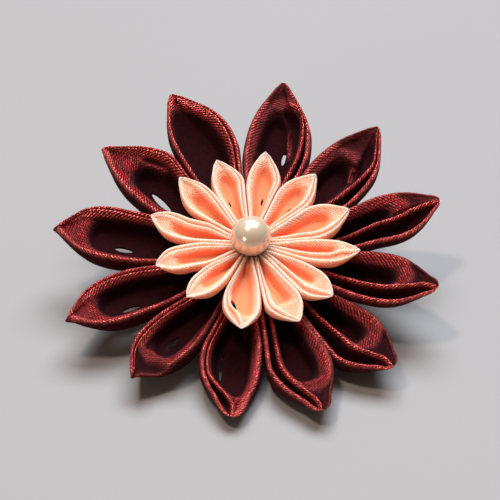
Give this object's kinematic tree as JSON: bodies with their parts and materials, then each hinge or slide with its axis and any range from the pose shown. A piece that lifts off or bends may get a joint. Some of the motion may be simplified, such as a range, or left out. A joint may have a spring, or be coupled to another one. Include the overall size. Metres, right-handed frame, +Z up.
{
  "type": "kanzashi hairpin",
  "caption": "Folded satin ribbon flower with an outer and an inner ring of pointed petals round a pearl, glued to the round pad of a two-pronged steel hairpin.",
  "frame": {"origin": "centre of the bounding box's bottom face, on the table that the hairpin lies on", "axes": "+Z up from the table, +Y along the two prongs to their tips, away from the viewer of the picture, +X to the viewer's right; the flower faces up and leans towards -Y"},
  "size_m": [0.0801, 0.0785, 0.027],
  "materials": {
    "burgundy_satin": "woven satin ribbon with a soft sheen along the ribs",
    "peach_satin": "woven satin ribbon with a soft sheen along the ribs",
    "pearl": "pearlescent coat over acrylic",
    "steel": "plain drawn wire and stamped pad"
  },
  "bodies": {
    "root": {"outer_petal_01": "burgundy_satin", "outer_petal_02": "burgundy_satin", "outer_petal_03": "burgundy_satin", "outer_petal_04": "burgundy_satin", "outer_petal_05": "burgundy_satin", "outer_petal_06": "burgundy_satin", "outer_petal_07": "burgundy_satin", "outer_petal_08": "burgundy_satin", "outer_petal_09": "burgundy_satin", "outer_petal_10": "burgundy_satin", "outer_petal_11": "burgundy_satin", "outer_petal_12": "burgundy_satin", "inner_petal_01": "peach_satin", "inner_petal_02": "peach_satin", "inner_petal_03": "peach_satin", "inner_petal_04": "peach_satin", "inner_petal_05": "peach_satin", "inner_petal_06": "peach_satin", "inner_petal_07": "peach_satin", "inner_petal_08": "peach_satin", "inner_petal_09": "peach_satin", "inner_petal_10": "peach_satin", "inner_petal_11": "peach_satin", "inner_petal_12": "peach_satin", "pearl": "pearl", "hairpin": "steel"}
  },
  "joints": []
}
